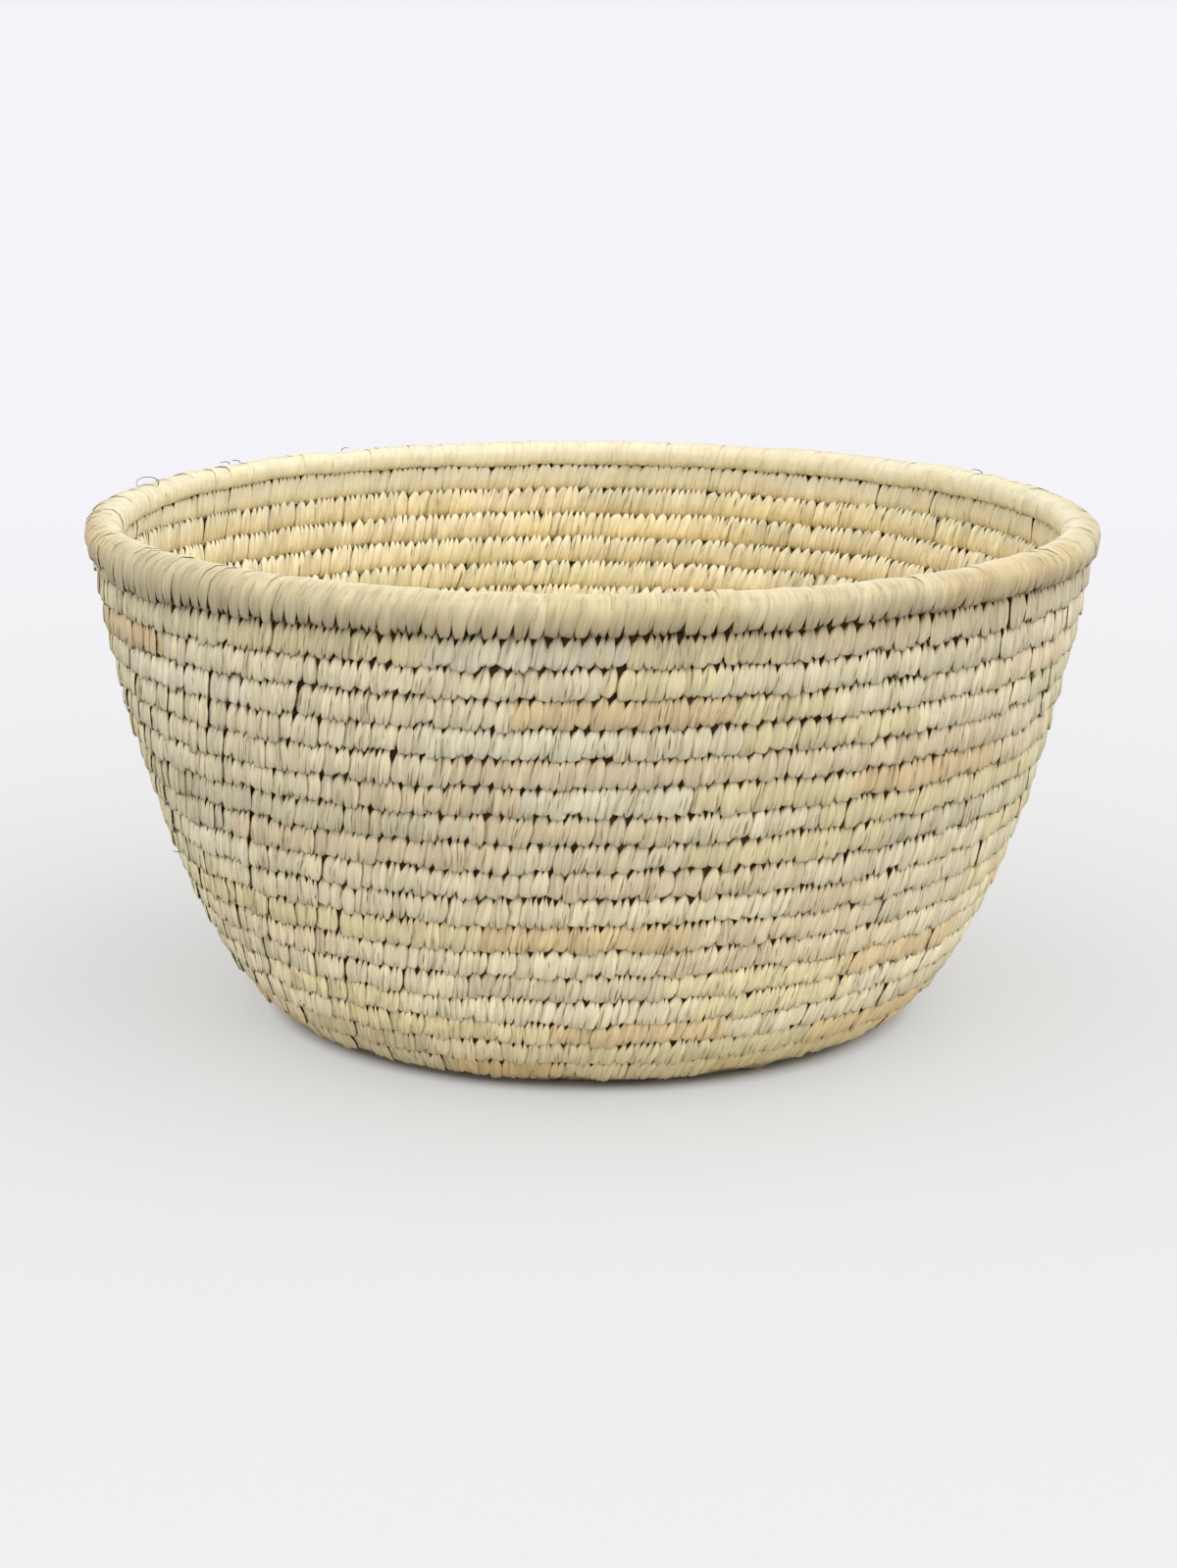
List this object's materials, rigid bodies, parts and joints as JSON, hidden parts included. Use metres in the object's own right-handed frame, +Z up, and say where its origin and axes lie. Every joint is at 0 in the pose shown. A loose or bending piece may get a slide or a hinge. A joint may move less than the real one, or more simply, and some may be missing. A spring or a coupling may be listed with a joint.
{
  "type": "palm leaf basket",
  "caption": "Round open basket of coiled palm leaf: a spiral of bundled leaf, wrapped and sewn row to row, with a flat base, flaring wall and thick rim.",
  "frame": {"origin": "middle of the base, on the surface that the basket stands on", "axes": "+Z up through the mouth; -Y is the side that faces the camera in the picture"},
  "size_m": [0.3468, 0.3503, 0.1744],
  "materials": {
    "base_leaf": "dry split palm leaf strips, matt with a faint sheen, straw to tan",
    "wall_leaf": "dry split palm leaf strips, matt with a faint sheen, cream to pinkish tan",
    "rim_leaf": "dry split palm leaf strips laid close, smooth with a faint sheen",
    "bundle_fibre": "rough shredded palm leaf, matt"
  },
  "bodies": {
    "root": {"base_bundle": "bundle_fibre", "base_wrap_01": "base_leaf", "base_wrap_02": "base_leaf", "base_wrap_03": "base_leaf", "base_wrap_04": "base_leaf", "base_wrap_05": "base_leaf", "base_wrap_06": "base_leaf", "base_wrap_07": "base_leaf", "base_wrap_08": "base_leaf", "base_wrap_09": "base_leaf", "base_wrap_10": "base_leaf", "rim_bundle": "bundle_fibre", "rim_wrap": "rim_leaf", "start_knot": "base_leaf", "wall_bundle": "bundle_fibre", "wall_wrap_01": "wall_leaf", "wall_wrap_02": "wall_leaf", "wall_wrap_03": "wall_leaf", "wall_wrap_04": "wall_leaf", "wall_wrap_05": "wall_leaf", "wall_wrap_06": "wall_leaf", "wall_wrap_07": "wall_leaf", "wall_wrap_08": "wall_leaf", "wall_wrap_09": "wall_leaf", "wall_wrap_10": "wall_leaf", "wall_wrap_11": "wall_leaf", "wall_wrap_12": "wall_leaf", "wall_wrap_13": "wall_leaf", "wall_wrap_14": "wall_leaf", "wall_wrap_15": "wall_leaf", "wall_wrap_16": "wall_leaf", "wall_wrap_17": "wall_leaf", "wall_wrap_18": "wall_leaf"}
  },
  "joints": []
}
